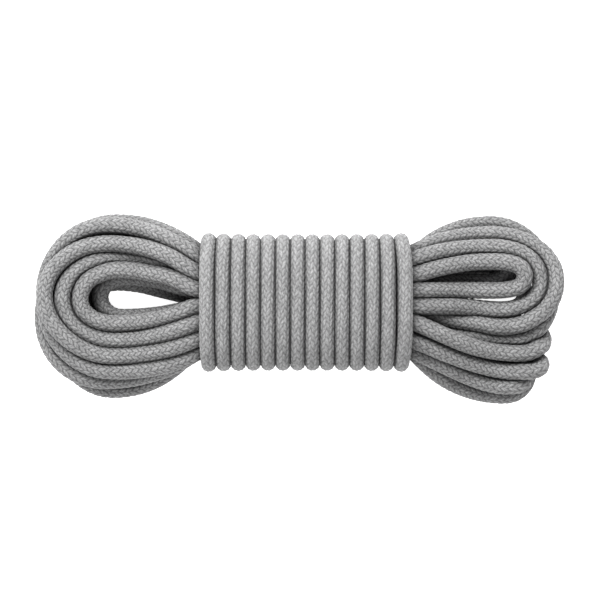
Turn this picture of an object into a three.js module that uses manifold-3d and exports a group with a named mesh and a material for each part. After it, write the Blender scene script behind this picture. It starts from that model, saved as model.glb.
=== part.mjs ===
// A climbing rope made up as a wrapped hank and laid on its side.
// One rope is folded into long loops, wrapped round the waist, and its last end is tucked back under
// the wraps. The loops and wraps are plain solids of their outer shape. Both short rope ends, which
// lie under the loops, are built in full: sheath, core strands, tracer thread, end sleeve, fused tip.
// Millimetres. +X runs along the hank, +Z is up, and the hank rests on z = 0.

import * as THREE from 'three';
import * as BufferGeometryUtils from 'three/addons/utils/BufferGeometryUtils.js';
import Module from 'manifold-3d';

const wasm = await Module();
wasm.setup();

// ---------------------------------------------------------------- driving dimensions

const gap = 0.3; // clearance between pieces that touch

const ropeRadius = 5;
const sheathWall = 0.8;
const ropeSides = 12;

const innerStrandCount = 3;
const outerStrandCount = 9;
const strandRadius = 0.85;
const strandSides = 8;
const strandTwistLength = 110; // length of rope in which a core strand goes round once
const tracerRadius = 0.2;

const sleeveLength = 24;
const sleeveWall = 0.4;
const tipThickness = 2.6;

const wrapCount = 14;
const wrapWidth = 9.3;
const wrapThickness = 9.2;
const waistCentreX = 4;
const waistCentreY = 4;
const waistInnerHalfWidth = 33.8;
const waistInnerHalfHeight = 18;
const waistSquareness = 2.5; // 2 is an ellipse, and more is nearer to a rectangle
const waistSides = 24;

const loopsHeight = 38;
const loopsEdgeRadius = 9;
const leftLoops = {
  mouth: { top: 44, bottom: -36 },
  upperCrest: { x: -116, y: 57.7 },
  tip: { x: -164, y: 5 },
  lowerCrest: { x: -116, y: -55.2 },
};
const rightLoops = {
  mouth: { top: 44, bottom: -36 },
  upperCrest: { x: 120, y: 58.3 },
  tip: { x: 164, y: 8.7 },
  lowerCrest: { x: 126, y: -58.3 },
};

// Each rope end runs in one vertical plane, down from the waist and along the floor: [x, y, z].
const firstEndRoute = [
  [71.2, -16.45, 14.6], [76, -17.65, 13.6], [82, -19.15, 11.2], [88, -20.65, 8.6],
  [94, -22.15, 6.7], [99, -23.4, 6.1], [105, -24.9, 6], [111, -26.4, 6], [118, -28.15, 6],
  [124, -29.65, 6],
];
const secondEndRoute = [
  [-63.2, 16.45, 14.6], [-68, 17.65, 13.7], [-74, 19.15, 11.6], [-80, 20.65, 9.4],
  [-87, 22.4, 7.3], [-94, 24.15, 6.2], [-102, 26.15, 6], [-110, 28.15, 6], [-118, 30.15, 6],
  [-125, 31.9, 6],
];
const endRouteSteps = 9;

// ---------------------------------------------------------------- dimensions that follow

const waistHalfLength = (wrapCount * wrapWidth) / 2;
const waistLeft = waistCentreX - waistHalfLength;
const waistRight = waistCentreX + waistHalfLength;
const waistCentreZ = waistInnerHalfHeight + wrapThickness;
const sheathBore = ropeRadius - sheathWall;
const outerStrandRing = sheathBore - gap - strandRadius;
const innerStrandRing = (strandRadius + gap / 2) / Math.sin(Math.PI / innerStrandCount);
const tracerRing = sheathBore - gap - tracerRadius;
const sleeveBore = ropeRadius + 1.2 * gap;
const sleeveRadius = sleeveBore + sleeveWall;

// ---------------------------------------------------------------- materials

const sheathFabric = { color: 0x9a9b9b, roughness: 0.92, metalness: 0 };
const coreFabric = { color: 0xe8e6df, roughness: 0.85, metalness: 0 };
const tracerFabric = { color: 0x2f5fa8, roughness: 0.8, metalness: 0 };
const sleevePlastic = { color: 0x2a2b2d, roughness: 0.45, metalness: 0 };
const fusedNylon = { color: 0x6e6f6f, roughness: 0.3, metalness: 0 };

const group = new THREE.Group();

function addPart(name, geometry, look) {
  const mesh = new THREE.Mesh(geometry, new THREE.MeshStandardMaterial(look));
  mesh.name = name;
  group.add(mesh);
  return mesh;
}

// ---------------------------------------------------------------- solids and outlines

function toManifold(geometry) {
  const plain = geometry.clone();
  plain.deleteAttribute('normal');
  plain.deleteAttribute('uv');
  const merged = BufferGeometryUtils.mergeVertices(plain, 1e-4);
  return new wasm.Manifold(new wasm.Mesh({
    numProp: 3,
    vertProperties: new Float32Array(merged.attributes.position.array),
    triVerts: new Uint32Array(merged.index.array),
  }));
}

function fromManifold(solid) {
  const mesh = solid.getMesh();
  const geometry = new THREE.BufferGeometry();
  geometry.setAttribute('position', new THREE.BufferAttribute(mesh.vertProperties, mesh.numProp));
  geometry.setIndex(new THREE.BufferAttribute(mesh.triVerts, 1));
  const flat = geometry.toNonIndexed();
  flat.computeVertexNormals();
  return flat;
}

function roundSection(radius, sides) {
  const points = [];
  for (let i = 0; i < sides; i += 1) {
    const angle = (2 * Math.PI * i) / sides;
    points.push(new THREE.Vector2(radius * Math.cos(angle), radius * Math.sin(angle)));
  }
  return new THREE.Shape(points);
}

function tubeSection(outerRadius, innerRadius, sides) {
  const section = roundSection(outerRadius, sides);
  section.holes.push(roundSection(innerRadius, sides));
  return section;
}

// A superellipse, flat on its sides and round at its corners.
function waistSection(halfWidth, halfHeight) {
  const power = 2 / waistSquareness;
  const points = [];
  for (let i = 0; i < waistSides; i += 1) {
    const angle = (2 * Math.PI * (i + 0.5)) / waistSides;
    const c = Math.cos(angle);
    const s = Math.sin(angle);
    const y = Math.sign(c) * halfWidth * Math.abs(c) ** power;
    const z = Math.sign(s) * halfHeight * Math.abs(s) ** power;
    points.push(new THREE.Vector2(y, z));
  }
  return new THREE.Shape(points);
}

// Turns a solid extruded along +Z, with its section in X and Y, so that it runs along +X with the
// section in Y and Z.
function layAlongX(geometry) {
  geometry.rotateX(Math.PI / 2);
  geometry.rotateZ(Math.PI / 2);
  return geometry;
}

// ---------------------------------------------------------------- loops at each end

// A quarter of an ellipse, level at its crest and upright at its tip.
function quarterRound(shape, from, to, crest, tip) {
  const bulge = 0.5523;
  const nearCrest = { x: crest.x + bulge * (tip.x - crest.x), y: crest.y };
  const nearTip = { x: tip.x, y: tip.y + bulge * (crest.y - tip.y) };
  const [first, second] = from === crest ? [nearCrest, nearTip] : [nearTip, nearCrest];
  shape.bezierCurveTo(first.x, first.y, second.x, second.y, to.x, to.y);
}

function loopsSolid(loops, mouthX) {
  const { mouth, upperCrest, tip, lowerCrest } = loops;
  const reachUp = 0.5 * (upperCrest.x - mouthX);
  const reachDown = 0.5 * (lowerCrest.x - mouthX);
  const shape = new THREE.Shape();
  shape.moveTo(mouthX, mouth.bottom);
  shape.lineTo(mouthX, mouth.top);
  shape.bezierCurveTo(
    mouthX + 0.4 * reachUp, mouth.top + 4, upperCrest.x - reachUp, upperCrest.y,
    upperCrest.x, upperCrest.y,
  );
  quarterRound(shape, upperCrest, tip, upperCrest, tip);
  quarterRound(shape, tip, lowerCrest, lowerCrest, tip);
  shape.bezierCurveTo(
    lowerCrest.x - reachDown, lowerCrest.y, mouthX + 0.4 * reachDown, mouth.bottom - 4,
    mouthX, mouth.bottom,
  );
  const geometry = new THREE.ExtrudeGeometry(shape, {
    depth: loopsHeight - 2 * loopsEdgeRadius,
    bevelThickness: loopsEdgeRadius,
    bevelSize: loopsEdgeRadius,
    bevelOffset: -loopsEdgeRadius,
    bevelSegments: 3,
    curveSegments: 8,
  });
  geometry.translate(0, 0, loopsEdgeRadius);
  return geometry;
}

// A box along a rope end's plane, from before its start to a given distance along it.
function channelBox(route, length, height) {
  const start = new THREE.Vector3(...route[0]);
  const end = new THREE.Vector3(...route[route.length - 1]);
  const overrun = 4;
  const below = 2;
  const width = 2 * (sleeveRadius + gap);
  const box = new THREE.BoxGeometry(length + overrun, width, height + below);
  box.translate((length - overrun) / 2, 0, (height - below) / 2);
  box.rotateZ(Math.atan2(end.y - start.y, end.x - start.x));
  box.translate(start.x, start.y, 0);
  return toManifold(box);
}

// The loops leave a channel underneath for the rope end: high by the waist, low along the floor.
function loopsOverRopeEnd(loops, mouthX, route) {
  const start = new THREE.Vector3(...route[0]);
  const end = new THREE.Vector3(...route[route.length - 1]);
  const reach = Math.hypot(end.x - start.x, end.y - start.y) + gap + tipThickness + gap;
  const lowHeight = end.z + sleeveRadius + gap;
  const highHeight = start.z + ropeRadius + gap;
  const highReach = 34;
  const solid = toManifold(loopsSolid(loops, mouthX))
    .subtract(channelBox(route, reach, lowHeight))
    .subtract(channelBox(route, highReach, highHeight));
  return fromManifold(solid);
}

function addLoops() {
  const left = loopsOverRopeEnd(leftLoops, waistLeft - gap, secondEndRoute);
  const right = loopsOverRopeEnd(rightLoops, waistRight + gap, firstEndRoute);
  addPart('left_loops', left, sheathFabric);
  addPart('right_loops', right, sheathFabric);
}

// ---------------------------------------------------------------- waist and its wraps

function addWaistBundle() {
  const clear = 0.6; // the section's flats cut in towards the middle, so this leaves the gap
  const section = waistSection(waistInnerHalfWidth - clear, waistInnerHalfHeight - clear);
  const geometry = new THREE.ExtrudeGeometry(section, {
    depth: 2 * waistHalfLength, bevelEnabled: false,
  });
  const bundle = addPart('waist_bundle', layAlongX(geometry), sheathFabric);
  bundle.position.set(waistLeft, waistCentreY, waistCentreZ);
}

// How far the surface of a wrap lies inside its crest, at a distance along the waist.
function wrapValley(x) {
  const deepest = 2.2;
  const fromCrest = (x / wrapWidth - Math.floor(x / wrapWidth + 1e-4) - 0.5) * wrapWidth;
  const radius = wrapThickness / 2;
  const valley = radius - Math.sqrt(Math.max(0, radius * radius - fromCrest * fromCrest));
  return Math.min(deepest, valley);
}

function addWaistWraps() {
  const halfWidth = waistInnerHalfWidth + wrapThickness;
  const halfHeight = waistInnerHalfHeight + wrapThickness;
  const section = waistSection(halfWidth, halfHeight);
  section.holes.push(waistSection(waistInnerHalfWidth, waistInnerHalfHeight));
  const geometry = new THREE.ExtrudeGeometry(section, {
    depth: 2 * waistHalfLength, steps: 4 * wrapCount, bevelEnabled: false,
  });
  const position = geometry.attributes.position;
  for (let i = 0; i < position.count; i += 1) {
    const y = position.getX(i);
    const z = position.getY(i);
    const middle = wrapThickness / 2;
    const reach = (Math.abs(y) / (halfWidth - middle)) ** waistSquareness
      + (Math.abs(z) / (halfHeight - middle)) ** waistSquareness;
    if (reach < 1) continue;
    const valley = wrapValley(position.getZ(i));
    position.setX(i, y * (1 - valley / halfWidth));
    position.setY(i, z * (1 - valley / halfHeight));
  }
  geometry.computeVertexNormals();
  const wraps = addPart('waist_wraps', layAlongX(geometry), sheathFabric);
  wraps.position.set(waistLeft, waistCentreY, waistCentreZ);
}

// ---------------------------------------------------------------- rope ends

// A path beside a rope end's centre line, going round it as it goes along.
class LaidStrandPath extends THREE.Curve {
  constructor(centreLine, ringRadius, startAngle) {
    super();
    this.centreLine = centreLine;
    this.ringRadius = ringRadius;
    this.startAngle = startAngle;
    this.length = centreLine.getLength();
    const start = centreLine.getPoint(0);
    const end = centreLine.getPoint(1);
    this.side = new THREE.Vector3(start.y - end.y, end.x - start.x, 0).normalize();
  }

  getPoint(t, target = new THREE.Vector3()) {
    const turns = (t * this.length) / strandTwistLength;
    const angle = this.startAngle + 2 * Math.PI * turns;
    const tangent = this.centreLine.getTangentAt(t);
    const up = new THREE.Vector3().crossVectors(tangent, this.side).normalize();
    return target.copy(this.centreLine.getPointAt(t))
      .addScaledVector(this.side, this.ringRadius * Math.cos(angle))
      .addScaledVector(up, this.ringRadius * Math.sin(angle));
  }
}

function along(path, section, steps) {
  return new THREE.ExtrudeGeometry(section, { extrudePath: path, steps, bevelEnabled: false });
}

function addCoreRing(prefix, centreLine, count, ringRadius, firstNumber) {
  for (let i = 0; i < count; i += 1) {
    const path = new LaidStrandPath(centreLine, ringRadius, (2 * Math.PI * i) / count);
    const geometry = along(path, roundSection(strandRadius, strandSides), endRouteSteps);
    addPart(`${prefix}_core_strand_${firstNumber + i}`, geometry, coreFabric);
  }
}

// Points a piece made along +Z down the last straight of a rope end, from a place on it.
function placeOnEnd(mesh, centreLine, fromEnd) {
  const direction = centreLine.getTangent(1);
  mesh.quaternion.setFromUnitVectors(new THREE.Vector3(0, 0, 1), direction);
  mesh.position.copy(centreLine.getPoint(1)).addScaledVector(direction, -fromEnd);
}

function addSleeve(prefix, centreLine) {
  const section = tubeSection(sleeveRadius, sleeveBore, 2 * ropeSides);
  const geometry = new THREE.ExtrudeGeometry(section, { depth: sleeveLength, bevelEnabled: false });
  placeOnEnd(addPart(`${prefix}_sleeve`, geometry, sleevePlastic), centreLine, sleeveLength);
}

function addFusedTip(prefix, centreLine) {
  const rim = ropeRadius;
  const profile = [
    [0, 0], [rim - 0.3, 0], [rim, 0.4], [rim, 0.9], [rim - 0.5, 1.8], [rim - 1.6, 2.4],
    [0, tipThickness],
  ].map(([r, h]) => new THREE.Vector2(r, h));
  const geometry = new THREE.LatheGeometry(profile, 2 * ropeSides);
  geometry.rotateX(Math.PI / 2);
  placeOnEnd(addPart(`${prefix}_fused_tip`, geometry, fusedNylon), centreLine, -gap);
}

function addRopeEnd(prefix, route) {
  const points = route.map(([x, y, z]) => new THREE.Vector3(x, y, z));
  const centreLine = new THREE.CatmullRomCurve3(points);
  const sheath = tubeSection(ropeRadius, sheathBore, ropeSides);
  addPart(`${prefix}_sheath`, along(centreLine, sheath, endRouteSteps), sheathFabric);
  addCoreRing(prefix, centreLine, innerStrandCount, innerStrandRing, 1);
  addCoreRing(prefix, centreLine, outerStrandCount, outerStrandRing, innerStrandCount + 1);
  const tracerPath = new LaidStrandPath(centreLine, tracerRing, Math.PI / outerStrandCount);
  const tracer = along(tracerPath, roundSection(tracerRadius, strandSides), endRouteSteps);
  addPart(`${prefix}_tracer_thread`, tracer, tracerFabric);
  addSleeve(prefix, centreLine);
  addFusedTip(prefix, centreLine);
}

addLoops();
addWaistBundle();
addWaistWraps();
addRopeEnd('first_end', firstEndRoute);
addRopeEnd('second_end', secondEndRoute);

export default group;
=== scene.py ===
"""A climbing rope made up as a wrapped hank: one braided rope, its two ends, and a plain studio.

The rope is laid out strand by strand, settled under its own weight, and skinned with its braid.
Lengths in the layout are millimetres. Everything that Blender gets is metres.
"""
import math

import bpy
import numpy as np
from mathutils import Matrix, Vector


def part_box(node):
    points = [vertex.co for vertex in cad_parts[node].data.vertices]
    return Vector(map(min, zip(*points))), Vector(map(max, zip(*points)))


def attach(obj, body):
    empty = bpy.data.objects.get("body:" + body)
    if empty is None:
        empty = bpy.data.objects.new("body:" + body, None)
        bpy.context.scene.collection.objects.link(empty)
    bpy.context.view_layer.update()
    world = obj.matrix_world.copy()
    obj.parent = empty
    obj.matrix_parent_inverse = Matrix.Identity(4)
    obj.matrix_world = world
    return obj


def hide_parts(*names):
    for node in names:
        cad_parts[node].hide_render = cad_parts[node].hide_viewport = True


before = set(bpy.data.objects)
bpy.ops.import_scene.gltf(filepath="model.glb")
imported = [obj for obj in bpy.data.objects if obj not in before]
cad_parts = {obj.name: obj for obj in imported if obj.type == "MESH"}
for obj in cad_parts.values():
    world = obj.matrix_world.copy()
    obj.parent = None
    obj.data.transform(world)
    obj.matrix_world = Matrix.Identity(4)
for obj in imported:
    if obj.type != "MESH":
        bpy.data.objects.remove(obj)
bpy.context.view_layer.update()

MM = 0.001

# ---------------------------------------------------------------- camera

VIEW_CENTRE = (0.0009, 0.0056)
VIEW_WIDTH = 0.372       # at the height named next
IN_VIEW_HEIGHT = 0.03
CAMERA_HEIGHT = 3.0
SENSOR = 36.0            # millimetres, as the lens is

camera_data = bpy.data.cameras.new("camera")
camera = bpy.data.objects.new("camera", camera_data)
bpy.context.scene.collection.objects.link(camera)
camera.location = (*VIEW_CENTRE, CAMERA_HEIGHT)
camera_data.sensor_width = SENSOR
camera_data.lens = SENSOR * (CAMERA_HEIGHT - IN_VIEW_HEIGHT) / VIEW_WIDTH
camera_data.clip_start, camera_data.clip_end = 0.1, 20.0
bpy.context.scene.camera = camera

# ---------------------------------------------------------------- the rope's layout

R = 5.05            # rope radius where it lies loose
WRAP_R = 4.62       # rope radius where it is pulled tight round the waist
STEP = 4.0          # distance between the nodes that settle

# The waist is where the CAD's wraps are.
WAIST_LEFT, WAIST_RIGHT = (round(corner[0] / MM, 1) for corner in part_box("waist_wraps"))
WAIST_Y, WAIST_Z = 4.15, 27.2
WAIST_HALF_WIDTH, WAIST_HALF_HEIGHT = 33.8, 18.0
SQUARENESS = 2.5    # of the waist's section: 2 is an ellipse, and more is nearer to a rectangle

WRAPS = 14
FIRST_WRAP_X, WRAP_PITCH = -55.6, 9.17
WRAP_REACH = 37.75               # from the waist's middle to a wrap's centre line at its side
OUTER_REACH = 0.7                # how much further the outermost wraps reach
FIRST_TURN, LAST_TURN = 40, 318  # degrees round the waist, where the wraps start and stop
POINTS_PER_TURN = 80
STEP_OVER = 0.12                 # part of a turn either side of where it steps to the next wrap
BOW, BOW_SKEW = 1.6, 0.6         # how far the outer wraps bow out, and how much more at the right
BOW_LENGTH = 60.0                # distance from the waist's middle at which they bow that far

LEAN, GENTLE_LEAN = 2.2, 1.15    # how steeply a loop leaves the waist, against its mean slope
GENTLE = ("R5", "R6", "R7")      # the loops that leave it gently
LEVEL_OFF = 1.15                 # above 1, a loop reaches its crest's height before the crest
SLENDER = 1.2                    # loops more slender than this have tips squarer than an ellipse
SQUARER, SQUAREST = 0.6, 3.2     # how fast a tip grows squarer with slenderness, and its most

# Where each strand runs through the waist: (y, z) at the right mouth, (y, z) at the left mouth.
STRANDS = {
    1: ((30.4, 37.0), (32.0, 36.0)),
    2: ((21.7, 40.0), (24.9, 40.0)),
    3: ((12.4, 40.0), (14.8, 40.0)),
    4: ((2.2, 40.0), (1.2, 40.0)),
    5: ((-8.7, 40.0), (-9.0, 40.0)),
    6: ((-18.9, 37.0), (-18.6, 37.0)),
    7: ((34.0, 28.5), (34.0, 27.0)),
    8: ((21.0, 31.0), (21.0, 31.5)),
    9: ((11.0, 31.0), (11.4, 31.5)),
    10: ((0.5, 32.0), (2.0, 31.5)),
    11: ((-9.5, 31.0), (-9.0, 31.0)),
    12: ((-25.0, 29.0), (-25.0, 31.5)),
    13: ((32.0, 19.5), (32.5, 19.0)),
    14: ((20.0, 22.5), (20.0, 23.0)),
    15: ((9.5, 22.5), (10.0, 23.0)),
    16: ((-1.0, 22.5), (0.0, 23.0)),
    17: ((-12.0, 22.0), (-10.0, 22.0)),
    18: ((-26.0, 20.0), (-25.5, 22.5)),
    20: ((6.0, 14.2), (5.5, 14.2)),
    21: ((-5.0, 14.2), (-5.0, 14.2)),
    22: ((-16.2, 14.6), (-21.0, 15.0)),
}
LAST_STRAND = ((18.0, 14.2), (16.2, 14.6))

# Each loop: strand at its upper entry, upper crest, tip, lower crest, strand at its lower entry,
# and how firmly it keeps its plan shape.
LEFT = {
    1: (3, (-109.4, 26.8, 26), (-135.8, 6.8, 26), (-113.2, -9.0, 25), 4, 1.0),
    2: (8, (-115.6, 32.2, 17.5), (-146.9, 6.8, 23), (-113.2, -20.2, 24), 5, 1.0),
    3: (2, (-121.0, 39.7, 26), (-158.1, 7.4, 25), (-116.9, -30.1, 23), 6, 1.0),
    4: (1, (-116.9, 49.9, 19), (-157.6, 11.8, 15), (-120.0, -38.6, 20), 12, 1.0),
    5: (7, (-114.4, 52.7, 9.5), (-156.6, 2.5, 5.5), (-118.1, -43.8, 12), 18, 1.0),
    6: (13, (-116.0, 42.8, 5), (-151.6, -13.0, 5), (-116.9, -50.0, 5), 22, 0.8),
    7: (9, (-106.3, 20.4, 15), (-123.7, 7.4, 13), (-110.0, -5.2, 13), 10, 1.0),
    8: (14, (-112.0, 38.0, 8), (-143.0, -2.0, 9), (-112.0, -29.0, 6), 11, 0.3),
    9: (15, (-116.0, 45.0, 13), (-149.0, -3.0, 8), (-116.0, -38.5, 5), 17, 0.3),
    10: (20, (-108.0, 17.5, 5), (-133.0, 1.0, 5), (-111.0, -15.5, 5), 16, 0.8),
}
RIGHT = {
    1: (2, (119.5, 30.1, 27), (140.6, 21.1, 27), (114.0, 11.5, 26), 3, 1.0),
    2: (1, (120.7, 38.1, 22), (151.4, 18.0, 22), (121.0, -1.3, 24), 4, 1.0),
    3: (7, (119.4, 45.9, 15), (159.3, 14.9, 22), (122.5, -14.5, 23), 10, 1.0),
    4: (13, (120.0, 53.0, 8), (157.8, 10.5, 12), (134.0, -19.8, 16), 11, 1.0),
    5: (15, (124.0, -6.0, 12), (151.4, -18.8, 16), (135.5, -28.2, 24), 5, 1.0),
    6: (16, (130.0, -27.0, 7), (151.0, -33.2, 13.5), (136.0, -39.2, 21), 6, 1.0),
    7: (17, (122.0, -36.5, 5), (142.0, -41.6, 10.5), (129.0, -46.8, 16), 12, 1.0),
    8: (21, (116.0, -15.5, 5), (139.5, -43.0, 5), (127.0, -54.0, 5), 18, 1.0),
    9: (14, (114.0, 27.0, 5), (141.0, 8.0, 5), (112.0, -3.5, 5), 20, 0.8),
    10: (8, (118.0, 38.0, 13), (131.0, 27.0, 14), (112.0, 16.5, 14), 9, 0.3),
}
# The order in which the rope takes them, from its first end to the wraps.
# A plus goes from the upper entry to the lower one, and a minus from the lower to the upper.
ORDER = "L6- R4+ L8- R9+ L10+ R6+ L3- R1+ L1+ R2- L4+ R7- L9- R5+ L2- R10+ L7+ R3- L5+ R8-".split()

# The rope's two ends, which lie as the CAD's do and don't settle.
FIRST_END = [(124, -29.65, 6), (118, -28.15, 6), (111, -26.4, 6), (105, -24.9, 6), (99, -23.4, 6.1),
             (94, -22.15, 6.7), (88, -20.65, 8.6), (82, -19.15, 11.2), (76, -17.65, 13.6),
             (71.2, -16.45, 14.6)]
SECOND_END = [(-63.2, 16.45, 14.6), (-68, 17.65, 13.7), (-74, 19.15, 11.6), (-80, 20.65, 9.4),
              (-87, 22.4, 7.3), (-94, 24.15, 6.2), (-102, 26.15, 6), (-110, 28.15, 6),
              (-118, 30.15, 6), (-125, 31.9, 6)]
# Its ways into the first wrap and out of the last one.
INTO_WRAPS = [(-44, -5.5, 13.5), (-51, -8.5, 11), (-55, -15, 7.5), (-56, -23, 5.6)]
OUT_OF_WRAPS = [(63.3, 22, 6.2), (61, 17, 10), (54, 16.5, 13.8)]

FREE, WAIST, FIXED = 0, 1, 2   # the kinds of node: in the open, held in the waist, not to settle


def smooth(t):
    """Rises from 0 to 1, level at both ends."""
    return t * t * (3 - 2 * t)


def limb(entry, crest, lean, count=26):
    """From a mouth to a crest: leaves with some slope and arrives level."""
    t = np.linspace(0, 1, count)
    rise = smooth(t) + lean * (t ** 3 - 2 * t ** 2 + t)
    x = entry[0] + (crest[0] - entry[0]) * t
    y = entry[1] + (crest[1] - entry[1]) * rise
    z = entry[2] + (crest[2] - entry[2]) * smooth(np.minimum(1, t * LEVEL_OFF))
    return np.stack([x, y, z], 1)


def quarter(crest, tip, count=28):
    """From a crest to a tip: an ellipse, squarer where the loop is narrow, so its tip is round."""
    slender = abs(tip[0] - crest[0]) / math.hypot(crest[1] - tip[1], crest[2] - tip[2])
    power = 2 / min(SQUAREST, 2 + SQUARER * max(0.0, slender - SLENDER))
    a = np.linspace(0, np.pi / 2, count)
    out, back = np.sin(a) ** power, np.maximum(0, np.cos(a)) ** power
    return np.stack([crest[0] + (tip[0] - crest[0]) * out,
                     tip[1] + (crest[1] - tip[1]) * back,
                     tip[2] + (crest[2] - tip[2]) * back], 1)


def loop(name):
    """A loop's centre line, how firmly it keeps its place, and the two strands it joins."""
    side, number = name[0], int(name[1:])
    upper, crest_u, tip, crest_b, lower, hold = (LEFT if side == "L" else RIGHT)[number]
    mouth, slot = (WAIST_LEFT, 1) if side == "L" else (WAIST_RIGHT, 0)
    entry_u = (mouth, *STRANDS[upper][slot])
    entry_b = (mouth, *STRANDS[lower][slot])
    lean = GENTLE_LEAN if name in GENTLE else LEAN
    points = np.concatenate([
        limb(entry_u, crest_u, lean),
        quarter(crest_u, tip)[1:],
        quarter(crest_b, tip)[::-1][1:],
        limb(entry_b, crest_b, lean)[::-1][1:],
    ])
    return points, hold, upper, lower


def wraps():
    """The wraps: turns round the waist that step over to the next one underneath."""
    power = 2 / SQUARENESS
    first, last = np.radians(FIRST_TURN), np.radians(360 * (WRAPS - 1) + LAST_TURN)
    turn = np.linspace(first, last, POINTS_PER_TURN * WRAPS)
    whole = np.floor(turn / (2 * np.pi) + 0.5)
    near_step = turn / (2 * np.pi) - whole
    step = smooth(np.clip(near_step / (2 * STEP_OVER) + 0.5, 0, 1))
    number = np.clip(whole - 1 + step, 0, WRAPS - 1)
    x = FIRST_WRAP_X + WRAP_PITCH * number
    s, c = np.sin(turn), np.cos(turn)
    z = WAIST_Z - (WAIST_HALF_HEIGHT + WRAP_R) * np.sign(c) * np.abs(c) ** power
    from_middle = (x - (WAIST_LEFT + WAIST_RIGHT) / 2) / BOW_LENGTH
    bow = (BOW + BOW_SKEW * from_middle) * from_middle ** 5
    reach = WRAP_REACH + OUTER_REACH * from_middle ** 4
    y = WAIST_Y - reach * np.sign(s) * np.abs(s) ** power
    return np.stack([x + bow * (1 - np.abs(s) ** 3), y, z], 1)


def catmull(points, count=12):
    """A smooth curve through the points, with so many new points to each span."""
    p = np.array(points, float)
    p = np.vstack([2 * p[0] - p[1], p, 2 * p[-1] - p[-2]])
    a, b, c, d = (p[k:len(p) - 3 + k, None, :] for k in range(4))
    t = np.linspace(0, 1, count, endpoint=False)[None, :, None]
    spans = 0.5 * (2 * b + (c - a) * t + (2 * a - 5 * b + 4 * c - d) * t ** 2
                   + (3 * b - a - 3 * c + d) * t ** 3)
    return np.concatenate([spans.reshape(-1, 3), p[-2][None]])


def along(points):
    """The distance along a line at each of its points."""
    return np.concatenate([[0], np.cumsum(np.linalg.norm(np.diff(points, axis=0), axis=1))])


def lay_out():
    """The whole rope as designed: its nodes, and each one's kind, hold and radius."""
    pieces = []

    def add(points, kind, hold, radius=R):
        pieces.append((np.asarray(points, float), kind, hold, radius))

    def through_waist(slots, start, end):
        (yr, zr), (yl, zl) = slots
        x = np.linspace(start, end, 40)
        t = (x - WAIST_LEFT) / (WAIST_RIGHT - WAIST_LEFT)
        add(np.stack([x, yl + (yr - yl) * t, zl + (zr - zl) * t], 1), WAIST, 0.0)

    add(catmull(FIRST_END), FIXED, 1.0)
    strand, from_right = 22, True
    for token in ORDER:
        ends = (WAIST_RIGHT - 1, WAIST_LEFT + 1)
        through_waist(STRANDS[strand], *(ends if from_right else ends[::-1]))
        name, way = token[:-1], token[-1]
        points, hold, upper, lower = loop(name)
        enter, leave = (upper, lower) if way == "+" else (lower, upper)
        assert enter == strand and (name[0] == "L") == from_right, token
        add(points if way == "+" else points[::-1], FREE, hold)
        strand, from_right = leave, not from_right
    through_waist(STRANDS[strand], WAIST_RIGHT - 1, INTO_WRAPS[0][0] + 5)
    add(catmull(INTO_WRAPS), FREE, 0.5)
    add(wraps(), FIXED, 1.0, WRAP_R)
    add(catmull(OUT_OF_WRAPS), FREE, 0.5)
    through_waist(LAST_STRAND, OUT_OF_WRAPS[-1][0] - 5, WAIST_LEFT - 1)
    add(catmull(SECOND_END), FIXED, 1.0)

    points = np.concatenate([p for p, *_ in pieces])
    kinds, holds, radii = (np.concatenate([np.full(len(row[0]), row[k]) for row in pieces])
                           for k in (1, 2, 3))
    s = along(points)
    t = np.linspace(0, s[-1], int(round(s[-1] / STEP)) + 1)
    nodes = np.stack([np.interp(t, s, points[:, k]) for k in range(3)], 1)
    near = np.clip(np.searchsorted(s, t), 0, len(s) - 1)
    return nodes, kinds[near], holds[near], radii[near]


# ---------------------------------------------------------------- settling

SETTLING_STEPS, QUICK_STEPS = 400, 120
STEPS_PER_SEARCH = 12              # how often the stretches that lie close are looked for again
NEAR = 2 * R + 3                   # stretches nearer than this are looked at as a pair
FAR_ALONG = 3.2 * R                # and only when they are farther apart than this along the rope
GRAVITY, GRAVITY_LOST = 0.12, 0.85 # how far a node sinks in a step, and the share lost by the end
WAIST_GRAVITY = 0.15               # the share of it that acts in the waist, where the wraps grip
LOOSEN_AT, LOOSENED = 0.7, 0.35    # when the hold on the designed places eases, and how far
MOUTH = 15                         # nodes this near a mouth are held more firmly in the waist
MOUTH_HOLD, WAIST_HOLD = 0.10, 0.02
PLAN_HOLD, RISE_HOLD = 0.10, 0.05  # how firmly loops keep their places, across and in height
FIRM = 0.8                         # loops that hold this firmly keep their heights too
SQUEEZE_FROM = 9                   # the wraps squeeze the strands from this far inside the mouths
TOUCHING = 0.985                   # how near two stretches may lie, against their thickness
SQUASH = 0.4                       # how far a strand may press into the wraps
EVEN, STRAIGHTEN = 0.6, 0.35       # how fast moved nodes even out, and the rope itself straightens
STRIDES = (1, 2, 4)                # over how many nodes their moves are evened out
CROWDED = 0.6                      # how much a node's many pushes soften each other
KEEP_LENGTH = 0.25                 # how fast a stretched or shortened length comes back


def close_pairs(p, reach, skip):
    """Pairs of nodes within reach of each other that are more than skip apart along the rope."""
    q = p.astype(np.float32)
    found = []
    for low in range(0, len(q), 500):
        d = ((q[low:low + 500, None, :] - q[None, :, :]) ** 2).sum(2)
        i, j = np.nonzero(d < reach * reach)
        i = i + low
        keep = j - i > skip
        found.append(np.stack([i[keep], j[keep]], 1))
    return np.concatenate(found)


def stiffen(p, home, move, stride, strength):
    """Evens out how far neighbouring nodes are from home, so that the rope bends gently."""
    q = p - home
    even = np.zeros_like(p)
    k = stride
    even[2 * k:-2 * k] = (4 * (q[k:-3 * k] + q[3 * k:-k]) - (q[:-4 * k] + q[4 * k:])
                          - 6 * q[2 * k:-2 * k]) / 16
    p += strength * even * move


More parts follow.
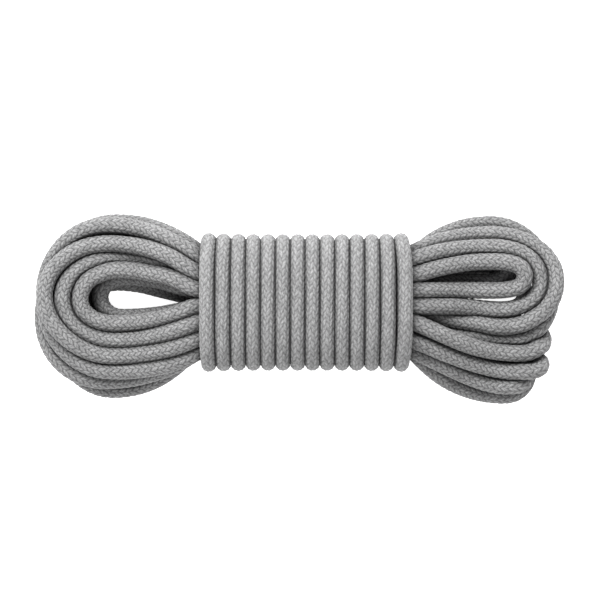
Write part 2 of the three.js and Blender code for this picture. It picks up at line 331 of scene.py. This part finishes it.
def push_apart(p, i, j, want, move):
    """Moves pairs of nodes that lie nearer than wanted apart, gently where a node has many."""
    d = p[j] - p[i]
    dist = np.sqrt((d ** 2).sum(1)) + 1e-9
    deep = np.maximum(0, want - dist)
    push = (d / dist[:, None]) * deep[:, None]
    total = np.maximum(1, move[i, 0] + move[j, 0])
    n = len(p)
    count = np.bincount(i[deep > 0], minlength=n) + np.bincount(j[deep > 0], minlength=n)
    soften = np.maximum(1, count * CROWDED)
    for c in range(3):
        p[:, c] += (np.bincount(j, push[:, c] * move[j, 0] / total, n)
                    - np.bincount(i, push[:, c] * move[i, 0] / total, n)) / soften


def keep_in_waist(p, waist):
    """Brings strands that stick out of the waist's section back to its edge."""
    u = (p[waist, 1] - WAIST_Y) / (WAIST_HALF_WIDTH - R + SQUASH)
    v = (p[waist, 2] - WAIST_Z) / (WAIST_HALF_HEIGHT - R + SQUASH)
    out = (np.abs(u) ** SQUARENESS + np.abs(v) ** SQUARENESS) ** (1 / SQUARENESS)
    scale = 1 / np.maximum(1, out)
    p[waist, 1] = WAIST_Y + (p[waist, 1] - WAIST_Y) * scale
    p[waist, 2] = WAIST_Z + (p[waist, 2] - WAIST_Z) * scale


def settle(nodes, kinds, holds, radii, steps):
    """Lets the laid-out rope sink, bend and rest on itself and on the floor."""
    p = nodes.copy()
    fixed, waist = kinds == FIXED, kinds == WAIST
    move = (~fixed).astype(float)[:, None]
    rest = np.linalg.norm(np.diff(p, axis=0), axis=1)
    edge = np.minimum(np.abs(nodes[:, 0] - WAIST_LEFT), np.abs(nodes[:, 0] - WAIST_RIGHT))
    squeezed = waist & (edge > SQUEEZE_FROM)
    at_mouth = np.where(edge < MOUTH, MOUTH_HOLD, WAIST_HOLD)
    plan_hold = np.where(waist, at_mouth, PLAN_HOLD * holds) * move[:, 0]
    rise_hold = np.where(waist, at_mouth, RISE_HOLD * (holds >= FIRM)) * move[:, 0]
    for k in range(steps):
        if k % STEPS_PER_SEARCH == 0:
            pairs = close_pairs(p, NEAR, int(FAR_ALONG / STEP) + 1)
            i, j = pairs[:, 0], pairs[:, 1]
            want = TOUCHING * (radii[i] + radii[j])
        late = k / steps
        pull = GRAVITY * (1 - GRAVITY_LOST * late)
        firm = 1.0 if late < LOOSEN_AT else LOOSENED
        p[:, 2] -= pull * (~fixed) * np.where(waist, WAIST_GRAVITY, 1.0)
        p[:, :2] += firm * plan_hold[:, None] * (nodes[:, :2] - p[:, :2])
        p[:, 2] += firm * rise_hold * (nodes[:, 2] - p[:, 2])
        stiffen(p, 0.0, move, 1, STRAIGHTEN)
        for stride in STRIDES:
            stiffen(p, nodes, move, stride, EVEN)
        for _ in range(2):
            push_apart(p, i, j, want, move)
            keep_in_waist(p, squeezed)
            p[:, 2] = np.maximum(p[:, 2], radii)
        for _ in range(2):
            d = np.diff(p, axis=0)
            dist = np.sqrt((d ** 2).sum(1)) + 1e-9
            shift = KEEP_LENGTH * d * ((dist - rest) / dist)[:, None]
            p[:-1] += shift * move[:-1]
            p[1:] -= shift * move[1:]
    return p


# ---------------------------------------------------------------- the braided skin

YARNS = 6                # yarns each way, one over and one under, each of two plies
BRAID_TURN = 26.4        # length of rope in which a yarn goes round once
BRAID_LIES_OVER = 700.0  # length of rope in which the whole braid has turned round once
RINGS_PER_STITCH = 8
SIDES = 48
YARN_RISE = 0.42         # how far a yarn's crown stands above its edges
WEAVE_RISE = 0.32        # how far a yarn rises as it passes over the others
PLY_RISE = 0.05          # how far the plies stand above the line between them
PROUD = 0.26             # how far the highest crowns stand above the rope's radius
PLY_LINE = 0.12          # how wide the line between two plies is, against a yarn
TAPER_RINGS = 30         # how many rings either side a change of the rope's radius is spread over


def braid_height(column, turns):
    """How far the braid's surface lies above the rope's radius: the higher yarn is the one seen."""
    over_s = np.cos(np.pi * column)
    heights, plies = [], []
    for sign in (1, -1):
        yarn = YARNS * turns + sign * column / 2
        across = np.abs(yarn - np.round(yarn))
        crown = np.sqrt(np.maximum(0, 1 - (2 * across) ** 2))
        heights.append(WEAVE_RISE * (sign * over_s - 1) + YARN_RISE * (crown - 1))
        plies.append(PLY_RISE * (np.minimum(1, across / PLY_LINE) - 1))
    plies = np.where(heights[0] > heights[1], plies[0], plies[1])
    return PROUD + np.maximum(*heights) + plies


def frames(centre):
    """Directions across a line that don't twist about it."""
    tangent = np.gradient(centre, axis=0)
    tangent /= np.linalg.norm(tangent, axis=1)[:, None]
    side = np.zeros_like(tangent)
    v = np.cross(tangent[0], (0.0, 0.0, 1.0))
    side[0] = v / np.linalg.norm(v)
    for k in range(1, len(tangent)):
        v = side[k - 1] - tangent[k] * np.dot(side[k - 1], tangent[k])
        side[k] = v / math.sqrt(v[0] * v[0] + v[1] * v[1] + v[2] * v[2])
    return side, np.cross(tangent, side)


def fine_line(nodes, radii):
    """The settled nodes as a smooth line, a ring apart, with the rope's radius along it."""
    curve = catmull(nodes, 8)
    s = along(curve)
    spacing = BRAID_TURN / YARNS / RINGS_PER_STITCH
    count = int(round(s[-1] / spacing))
    t = np.linspace(0, s[-1], count + 1)
    line = np.stack([np.interp(t, s, curve[:, k]) for k in range(3)], 1)
    width = np.interp(t, np.linspace(0, s[-1], len(radii)), radii)
    taper = np.hanning(2 * TAPER_RINGS + 1)
    taper /= taper.sum()
    padded = np.pad(width, TAPER_RINGS, mode="edge")
    return line, np.convolve(padded, taper, "valid"), t


def link(name, mesh):
    """A new object in the scene that shows the mesh."""
    obj = bpy.data.objects.new(name, mesh)
    bpy.context.scene.collection.objects.link(obj)
    return obj


def tube_mesh(name, rings, uv_along):
    """A closed mesh over rings of points, with the way round as U and the way along as V."""
    count, sides = rings.shape[:2]
    ends = np.stack([rings[0].mean(0), rings[-1].mean(0)])
    vertices = np.concatenate([rings.reshape(-1, 3), ends])
    a = (np.arange(count - 1)[:, None] * sides + np.arange(sides)[None]).ravel()
    nxt = (np.arange(sides) + 1) % sides
    b = (np.arange(count - 1)[:, None] * sides + nxt[None]).ravel()
    quads = np.stack([a, b, b + sides, a + sides], 1)
    first, last = count * sides, (count - 1) * sides
    caps = np.concatenate([
        np.stack([nxt, np.arange(sides), np.full(sides, first)], 1),
        np.stack([last + np.arange(sides), last + nxt, np.full(sides, first + 1)], 1),
    ])
    mesh = bpy.data.meshes.new(name)
    mesh.vertices.add(len(vertices))
    mesh.vertices.foreach_set("co", vertices.astype(np.float32).ravel())
    loops = np.concatenate([quads.ravel(), caps.ravel()])
    mesh.loops.add(len(loops))
    mesh.loops.foreach_set("vertex_index", loops.astype(np.int32))
    starts = np.concatenate([np.arange(len(quads)) * 4,
                             len(quads) * 4 + np.arange(len(caps)) * 3])
    mesh.polygons.add(len(starts))
    mesh.polygons.foreach_set("loop_start", starts.astype(np.int32))
    u = np.tile(np.arange(sides), count - 1) / sides
    v0, v1 = np.repeat(uv_along[:-1], sides), np.repeat(uv_along[1:], sides)
    quad_uv = np.stack([np.stack([u, u + 1 / sides, u + 1 / sides, u], 1),
                        np.stack([v0, v0, v1, v1], 1)], 2)
    cap_v = np.repeat([uv_along[0], uv_along[-1]], sides)
    cap_u = np.tile(np.arange(sides), 2) / sides
    cap_uv = np.stack([np.stack([cap_u] * 3, 1), np.stack([cap_v] * 3, 1)], 2)
    layer = mesh.uv_layers.new(name="Around")
    layer.data.foreach_set(
        "uv", np.concatenate([quad_uv.ravel(), cap_uv.ravel()]).astype(np.float32))
    mesh.update(calc_edges=True)
    mesh.validate()
    mesh.polygons.foreach_set("use_smooth", np.ones(len(mesh.polygons), bool))
    mesh.update()
    return mesh


def rope_piece(line, width, distance):
    """The whole rope as one closed mesh, with the braid's yarns raised on it."""
    side, up = frames(line)
    theta = 2 * np.pi * np.arange(SIDES) / SIDES
    turns = distance / BRAID_TURN
    column = 2 * YARNS * np.arange(SIDES) / SIDES - 0.5
    height = braid_height(column[None, :], turns[:, None])
    radius = width[:, None] + height
    angle = theta[None, :] + 2 * np.pi * distance[:, None] / BRAID_LIES_OVER
    rings = (line[:, None, :]
             + (radius * np.cos(angle))[:, :, None] * side[:, None, :]
             + (radius * np.sin(angle))[:, :, None] * up[:, None, :])
    return link("rope", tube_mesh("rope", rings * MM, turns))


# ---------------------------------------------------------------- materials

class Nodes:
    """Short ways to write a material's node tree."""

    def __init__(self, name):
        self.material = bpy.data.materials.new(name)
        self.material.use_nodes = True
        self.tree = self.material.node_tree
        self.shader = self.tree.nodes["Principled BSDF"]

    def node(self, kind, inputs=(), **settings):
        """A new node, with its settings and its inputs."""
        n = self.tree.nodes.new(kind)
        for key, value in settings.items():
            setattr(n, key, value)
        for key, value in dict(inputs).items():
            self.put(n.inputs[key], value)
        return n

    def put(self, socket, value):
        """Links a socket to a node's output, or sets it to a plain value."""
        if isinstance(value, bpy.types.NodeSocket):
            self.tree.links.new(value, socket)
        else:
            socket.default_value = value

    def math(self, operation, *values):
        """A sum on one to three values."""
        n = self.node("ShaderNodeMath", operation=operation)
        for socket, value in zip(n.inputs, values):
            self.put(socket, value)
        return n.outputs[0]

    def add(self, a, b):
        return self.math("ADD", a, b)

    def sub(self, a, b):
        return self.math("SUBTRACT", a, b)

    def mul(self, a, b):
        return self.math("MULTIPLY", a, b)

    def mix(self, factor, a, b):
        """Number a where the factor is 0, and b where it is 1."""
        return self.add(a, self.mul(self.sub(b, a), factor))

    def ramp(self, value, low, high, to_low=0.0, to_high=1.0):
        """Goes evenly from one number to the other as the value goes from low to high."""
        n = self.node("ShaderNodeMapRange", {
            "Value": value, "From Min": low, "From Max": high,
            "To Min": to_low, "To Max": to_high})
        return n.outputs[0]

    def vector(self, x, y, z=0.0):
        n = self.node("ShaderNodeCombineXYZ")
        for socket, value in zip(n.inputs, (x, y, z)):
            self.put(socket, value)
        return n.outputs[0]

    def random(self, vector):
        """A number from 0 to 1 that is the same for the same vector."""
        n = self.node("ShaderNodeTexWhiteNoise", {"Vector": vector}, noise_dimensions="3D")
        return n.outputs["Value"]

    def place(self):
        """Where the shaded point is, in metres."""
        return self.node("ShaderNodeNewGeometry").outputs["Position"]

    def noise(self, vector, scale, detail=2.0):
        n = self.node("ShaderNodeTexNoise", {"Vector": vector, "Scale": scale, "Detail": detail})
        return n.outputs["Fac"]

    def openness(self, reach):
        """1 in the open, and less where other surfaces are within reach."""
        n = self.node("ShaderNodeAmbientOcclusion", {"Distance": reach}, samples=6)
        return n.outputs["AO"]

    def colours(self, value, stops):
        """A colour for the value, from (place, colour) stops."""
        n = self.node("ShaderNodeValToRGB", {"Fac": value})
        ramp = n.color_ramp
        while len(ramp.elements) < len(stops):
            ramp.elements.new(0.5)
        for element, (place, colour) in zip(ramp.elements, stops):
            element.position, element.color = place, (*colour, 1.0)
        return n.outputs["Color"]

    def bump(self, height, strength, distance):
        """Fine relief on the shader's normal."""
        n = self.node("ShaderNodeBump", {
            "Height": height, "Strength": strength, "Distance": distance})
        self.put(self.shader.inputs["Normal"], n.outputs["Normal"])

    def finish(self, **sockets):
        """Sets the shader's sockets, named with _ for each space, and returns the material."""
        for key, value in sockets.items():
            self.put(self.shader.inputs[key.replace("_", " ")], value)
        return self.material


def grey(value):
    """A grey that is very slightly blue."""
    return (value, value, value * 1.004)


# Painted shade: how light the sheath's hollows are against its crowns, where it is loose and where
# it is tight.
YARN_EDGES = (0.38, 0.57)
CROSSINGS = (0.40, 0.59)
PLY_LINES = (0.58, 0.73)
WHOLE_SHEATH = (0.94, 0.96)                # painted shade over all of it: how light it is, loose and tight
CLEAR_RISE = 0.26                          # a yarn this far above the one it crosses is fully light
FLECKS, FUZZ, STITCHES = 0.22, 0.42, 0.04  # shares of the sheath's tone that vary at random
TONE, WORN = 0.18, 0.03                    # its steady part, and how far it drifts over the rope
FUZZ_SCALE, WORN_SCALE = 1700.0, 34.0
NARROW_GAP, NARROW_DARK = 0.0018, 0.13     # reach of the shadow between yarns, and its darkest
WIDE_GAP, WIDE_DARK = 0.020, 0.10          # the same for the shadow between stretches of rope


def sheath_material(tight_from, tight_to):
    """A braid of heather grey yarns, each of two plies, with painted shade in its hollows and over
    all of it, less where the rope is pulled tight.
    """
    m = Nodes("braided_sheath")
    uv = m.node("ShaderNodeUVMap", uv_map="Around").outputs["UV"]
    split = m.node("ShaderNodeSeparateXYZ", {"Vector": uv})
    column = m.sub(m.mul(split.outputs["X"], 2.0 * YARNS), 0.5)
    along_yarns = m.mul(split.outputs["Y"], float(YARNS))
    half = m.mul(column, 0.5)
    turns = split.outputs["Y"]
    tight = m.mul(m.ramp(turns, tight_from - 1, tight_from + 1),
                  m.ramp(turns, tight_to + 1, tight_to - 1))
    over = m.mul(m.math("COSINE", m.mul(column, math.pi)), WEAVE_RISE)

    def one_way(yarn, rise):
        """A yarn's number, where a point lies across it, how near its crown, and its height."""
        number = m.math("ROUND", yarn)
        across = m.sub(yarn, number)
        crown = m.math("MAXIMUM", m.sub(1.0, m.mul(m.mul(across, across), 4.0)), 0.0)
        return number, across, crown, m.add(rise, m.mul(m.math("SQRT", crown), YARN_RISE))

    s_way = one_way(m.add(along_yarns, half), over)
    z_way = one_way(m.sub(along_yarns, half), m.mul(over, -1.0))
    s_on_top = m.math("GREATER_THAN", s_way[3], z_way[3])
    number, across, crown = (m.mix(s_on_top, z_way[k], s_way[k]) for k in range(3))
    clear = m.ramp(m.math("ABSOLUTE", m.sub(s_way[3], z_way[3])), 0.0, CLEAR_RISE)
    ply_crown = m.ramp(m.math("ABSOLUTE", across), 0.0, PLY_LINE)

    family = m.mul(s_on_top, 57.0)
    wale = m.math("ROUND", m.sub(half, m.mul(m.sub(1.0, s_on_top), 0.5)))
    ply_number = m.add(m.mul(number, 2.0), m.math("GREATER_THAN", across, 0.0))
    stitch_shade = m.random(m.vector(number, wale, family))
    third = m.math("FLOOR", m.mul(column, 3.0))
    fleck = m.random(m.vector(ply_number, third, m.add(family, 3.0)))
    place = m.place()
    fuzz = m.noise(place, FUZZ_SCALE)
    worn = m.noise(place, WORN_SCALE, 3.0)

    tone = m.add(m.mul(fleck, FLECKS), m.add(m.mul(fuzz, FUZZ), m.mul(stitch_shade, STITCHES)))
    tone = m.add(m.add(tone, TONE), m.mul(m.sub(worn, 0.5), WORN))
    colour = m.colours(tone, [
        (0.28, grey(0.15)), (0.42, grey(0.21)), (0.52, grey(0.27)),
        (0.62, grey(0.325)), (0.76, grey(0.40)),
    ])
    # painted shade: darker where other surfaces lie near, in the narrow gaps between yarns and the
    # wide ones between stretches of rope
    shadow = m.mul(m.mix(m.openness(NARROW_GAP), NARROW_DARK, 1.0),
                   m.mix(m.openness(WIDE_GAP), WIDE_DARK, 1.0))
    # painted shade in the hollows at yarn edges, where yarns cross and between plies, less deep
    # where the rope is pulled tight
    shade = m.mul(m.mix(crown, m.mix(tight, *YARN_EDGES), 1.0),
                  m.mix(clear, m.mix(tight, *CROSSINGS), 1.0))
    shade = m.mul(shade, m.mix(ply_crown, m.mix(tight, *PLY_LINES), 1.0))
    # painted shade over the whole loose rope, a little darker than where it is pulled tight
    shade = m.mul(m.mul(shade, shadow), m.mix(tight, *WHOLE_SHEATH))
    dark = m.node("ShaderNodeVectorMath", {0: colour}, operation="SCALE")
    m.put(dark.inputs["Scale"], shade)

    height = m.add(m.mul(ply_crown, 0.3), m.add(m.mul(crown, 0.5), m.mul(fuzz, 0.30)))
    m.bump(height, 0.6, 0.0003)
    rough = m.add(0.80, m.mul(fuzz, 0.16))
    return m.finish(Base_Color=dark.outputs[0], Roughness=rough,
                    Sheen_Weight=0.10, Sheen_Roughness=0.5, Specular_IOR_Level=0.20)


def fibre_material(name, low, high, sheen):
    """A twisted bundle of fine filaments."""
    m = Nodes(name)
    place = m.place()
    stretched = m.node("ShaderNodeMapping", {"Vector": place, "Scale": (180.0, 2600.0, 2600.0)})
    strands = m.noise(stretched.outputs[0], 1.0, 3.0)
    patches = m.noise(place, 260.0)
    tone = m.add(m.mul(strands, 0.7), m.mul(patches, 0.3))
    m.bump(strands, 0.5, 0.00012)
    return m.finish(Base_Color=m.colours(tone, [(0.25, low), (0.75, high)]),
                    Roughness=m.add(0.62, m.mul(strands, 0.25)), Sheen_Weight=sheen)


def sleeve_material():
    """Black heat-shrink tube: satin, scuffed and slightly rippled."""
    m = Nodes("heat_shrink")
    place = m.place()
    scuffs = m.noise(place, 900.0, 4.0)
    ripple = m.noise(place, 210.0)
    m.bump(m.add(ripple, m.mul(scuffs, 0.3)), 0.35, 0.0002)
    return m.finish(
        Base_Color=m.colours(scuffs, [(0.3, (0.018, 0.018, 0.020)), (0.8, (0.055, 0.055, 0.058))]),
        Roughness=m.ramp(scuffs, 0.3, 0.8, 0.32, 0.58))


def melted_material():
    """Polyamide that has melted and set: blotchy and half glossy."""
    m = Nodes("fused_polyamide")
    place = m.place()
    blots = m.noise(place, 520.0, 4.0)
    m.bump(blots, 0.6, 0.0003)
    return m.finish(
        Base_Color=m.colours(blots, [(0.3, (0.055, 0.052, 0.048)), (0.55, (0.16, 0.155, 0.15)),
                                     (0.8, (0.30, 0.295, 0.28))]),
        Roughness=m.ramp(blots, 0.3, 0.8, 0.22, 0.5))


def floor_material():
    """A plain pale floor that gives off some light, so that it stays pale under soft light."""
    m = Nodes("floor")
    place = m.place()
    grain = m.noise(place, 60.0, 3.0)
    return m.finish(Base_Color=m.colours(grain, [(0.3, grey(0.90)), (0.7, grey(0.92))]),
                    Roughness=m.ramp(grain, 0.3, 0.7, 0.85, 0.95), Specular_IOR_Level=0.1,
                    Emission_Color=(1.0, 1.0, 1.0, 1.0), Emission_Strength=0.93)


# ---------------------------------------------------------------- the rope's two ends

def end_axes(route_end, route_before):
    """An end's last straight: where it ends, its direction, and two directions across it."""
    end = np.array(route_end, float)
    forward = end - np.array(route_before, float)
    forward /= np.linalg.norm(forward)
    side = np.cross(forward, (0.0, 0.0, 1.0))
    side /= np.linalg.norm(side)
    return end, forward, side, np.cross(side, forward)


def turned_piece(name, axes, profile, lumps, sides=64):
    """A round piece on an end's axis, from (distance past the end, radius) and a lumpiness."""
    end, forward, side, up = axes
    theta = 2 * np.pi * np.arange(sides) / sides
    rings = []
    for place, radius in profile:
        r = radius * (1 + lumps(place, theta))
        rings.append(end + place * forward
                     + (r * np.cos(theta))[:, None] * side + (r * np.sin(theta))[:, None] * up)
    rings = np.array(rings)
    return link(name, tube_mesh(name, rings * MM, np.array([row[0] for row in profile]) / 10))


SLEEVE_LENGTH, SLEEVE_WALL = 24.0, 0.4
SLEEVE_INSIDE = R + 0.06          # clear of the rope's radius
SLEEVE_LIFT = 0.15                # how far the braid's crowns hold the sleeve's outside off it
OUT_OF_ROUND = 0.0035
LIP_DROP, LIP_LENGTH = 0.28, 0.9  # how far a sleeve's lips are drawn down, and over what length
SHOWS_BRAID = 0.022               # how much of the braid under it a sleeve shows
TIP_START, TIP_LENGTH, TIP_RADIUS = 0.3, 2.5, 4.95


def sleeve_piece(name, axes):
    """Heat-shrink tube, drawn down at both lips, that shows the braid under it."""
    outside = R + SLEEVE_WALL + SLEEVE_LIFT
    place = np.linspace(-SLEEVE_LENGTH, 0, 121)
    from_lip = np.minimum(place + SLEEVE_LENGTH, -place)
    radius = outside - LIP_DROP * np.exp(-from_lip / LIP_LENGTH)
    profile = [(place[0], SLEEVE_INSIDE), *zip(place, radius), (place[-1], SLEEVE_INSIDE)]

    def lumps(p, theta):
        ridges = braid_height(2 * YARNS * theta / (2 * np.pi) - 0.5, p / BRAID_TURN)
        return SHOWS_BRAID * ridges + OUT_OF_ROUND * np.sin(2 * theta + 0.31 * p)

    return turned_piece(name, axes, profile, lumps, 96)


def tip_piece(name, axes, seed):
    """The melted end: a rounded, uneven button."""
    rng = np.random.default_rng(seed)
    phase, size = rng.uniform(0, 6.28, 5), rng.uniform(0.01, 0.03, 5)
    u = np.linspace(0, 1, 25)
    place = TIP_START + TIP_LENGTH * np.sin(u * np.pi / 2)
    radius = TIP_RADIUS * np.cos(u * np.pi / 2) ** 0.42
    radius[-1] = 0.25

    def lumps(p, theta):
        return sum(size[k] * np.sin((k + 2) * theta + phase[k] + p) for k in range(5))

    return turned_piece(name, axes, list(zip(place, radius)), lumps)


# ---------------------------------------------------------------- making it

def paint(obj, material):
    """Gives an object one material and no other."""
    obj.data.materials.clear()
    obj.data.materials.append(material)


def sleeved_end(prefix, route, seed, sleeve_look, tip_look):
    """One end's sleeve and melted tip, in place of the CAD's."""
    axes = end_axes(route[-1], route[-2])
    sleeve = sleeve_piece(f"{prefix}_shrunk_sleeve", axes)
    tip = tip_piece(f"{prefix}_melted_tip", axes, seed)
    for piece, look, node, slot in ((sleeve, sleeve_look, "sleeve", "sleeve_plastic"),
                                    (tip, tip_look, "fused_tip", "fused_polyamide")):
        paint(piece, look)
        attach(piece, "root")
        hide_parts(f"{prefix}_{node}")
    return [sleeve, tip]


nodes, kinds, holds, radii = lay_out()
settled = settle(nodes, kinds, holds, radii, SETTLING_STEPS)
line, width, distance = fine_line(settled, radii)
rope = rope_piece(line, width, distance)
tight = distance[width < (R + WRAP_R) / 2] / BRAID_TURN
paint(rope, sheath_material(float(tight[0]), float(tight[-1])))

looks = sleeve_material(), melted_material()
end_pieces = (sleeved_end("first_end", FIRST_END[::-1], 3, *looks)
              + sleeved_end("second_end", SECOND_END, 8, *looks))

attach(rope, "root")
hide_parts("left_loops", "right_loops", "waist_bundle", "waist_wraps",
            "first_end_sheath", "second_end_sheath")

core_look = fibre_material("core_fibre", (0.62, 0.60, 0.55), (0.86, 0.85, 0.80), 0.2)
tracer_look = fibre_material("tracer_fibre", (0.02, 0.07, 0.25), (0.06, 0.17, 0.48), 0.1)
for name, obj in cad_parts.items():
    if "_core_strand_" in name:
        paint(obj, core_look)
    elif name.endswith("_tracer_thread"):
        paint(obj, tracer_look)

# ---------------------------------------------------------------- floor and light

FLOOR_HALF = 4.0
FLOOR_BELOW = 0.0002   # how far it lies below z = 0, as the braid's crowns stand a little proud

floor_mesh = bpy.data.meshes.new("floor")
floor_mesh.from_pydata([(-FLOOR_HALF, -FLOOR_HALF, 0), (FLOOR_HALF, -FLOOR_HALF, 0),
                        (FLOOR_HALF, FLOOR_HALF, 0), (-FLOOR_HALF, FLOOR_HALF, 0)],
                       [], [(0, 1, 2, 3)])
floor = link("floor", floor_mesh)
floor.location.z = -FLOOR_BELOW
paint(floor, floor_material())


def area_light(name, place, width, depth, power):
    """A rectangular light that faces the hank."""
    data = bpy.data.lights.new(name, "AREA")
    data.shape, data.size, data.size_y, data.energy = "RECTANGLE", width, depth, power
    light = bpy.data.objects.new(name, data)
    light.location = place
    bpy.context.scene.collection.objects.link(light)
    aim = np.array((0.0, 0.0, 0.02)) - np.array(place)
    light.rotation_mode = "XYZ"
    pitch = math.atan2(math.hypot(aim[0], aim[1]), -aim[2])
    light.rotation_euler = (pitch, 0.0, math.atan2(aim[1], aim[0]) - math.pi / 2)


area_light("key", (-0.50, 1.30, 1.35), 2.2, 0.7, 76.0)
area_light("fill", (-0.1, -0.9, 1.6), 1.8, 1.2, 17.0)
world = bpy.data.worlds.new("studio")
world.use_nodes = True
background = world.node_tree.nodes["Background"]
background.inputs["Color"].default_value = (1.0, 1.0, 1.0, 1.0)
background.inputs["Strength"].default_value = 0.46
bpy.context.scene.world = world
bpy.context.scene.view_settings.view_transform = "Standard"
